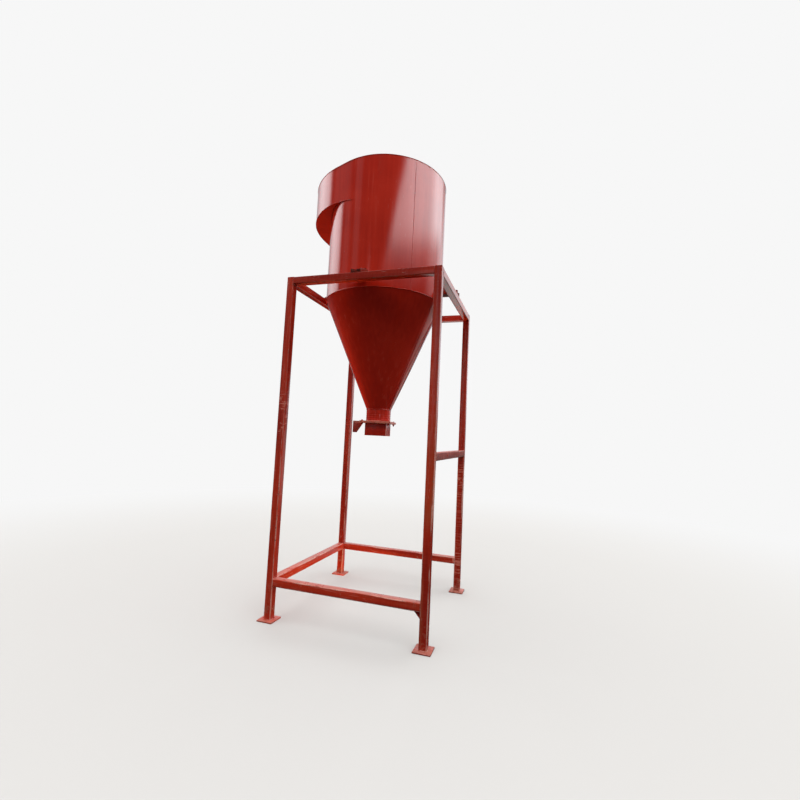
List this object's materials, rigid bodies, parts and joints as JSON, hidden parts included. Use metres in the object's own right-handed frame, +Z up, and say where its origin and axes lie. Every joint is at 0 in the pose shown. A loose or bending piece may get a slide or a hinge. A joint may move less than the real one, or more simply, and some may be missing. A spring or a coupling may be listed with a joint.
{
  "type": "cyclone separator",
  "caption": "Sheet-steel cyclone dust separator with a side scroll inlet, long cone and square discharge box, hung in a square-tube stand.",
  "frame": {"origin": "middle of the whole footprint, on the floor", "axes": "+Z up; -Y is the front, where the scroll starts; the inlet duct opens towards +Y at the -X side"},
  "size_m": [1.534, 1.37, 3.85],
  "materials": {
    "vessel_paint": "gloss orange-red enamel",
    "stand_paint": "brushed orange-red enamel, worn"
  },
  "bodies": {
    "root": {"leg_front_left": "stand_paint", "leg_front_right": "stand_paint", "leg_back_right": "stand_paint", "leg_back_left": "stand_paint", "foot_front_left": "stand_paint", "foot_front_right": "stand_paint", "foot_back_right": "stand_paint", "foot_back_left": "stand_paint", "top_beam_front": "stand_paint", "top_beam_back": "stand_paint", "top_beam_left": "stand_paint", "top_beam_right": "stand_paint", "low_beam_front": "stand_paint", "low_beam_back": "stand_paint", "low_beam_left": "stand_paint", "mid_beam_right": "stand_paint", "corner_gusset": "stand_paint", "lug_front": "stand_paint", "lug_back": "stand_paint", "lug_left": "stand_paint", "lug_right": "stand_paint", "barrel": "vessel_paint", "roof": "vessel_paint", "scroll_wall": "vessel_paint", "scroll_floor": "vessel_paint", "duct_inner_wall": "vessel_paint", "duct_roof": "vessel_paint", "duct_outer_wall": "vessel_paint", "inlet_flange": "vessel_paint", "gas_outlet_tube": "vessel_paint", "gas_outlet_flange": "vessel_paint", "cone": "vessel_paint", "spigot": "vessel_paint", "outlet_flange": "vessel_paint", "box_flange": "vessel_paint", "discharge_box": "vessel_paint", "flange_ear": "vessel_paint"}
  },
  "joints": []
}
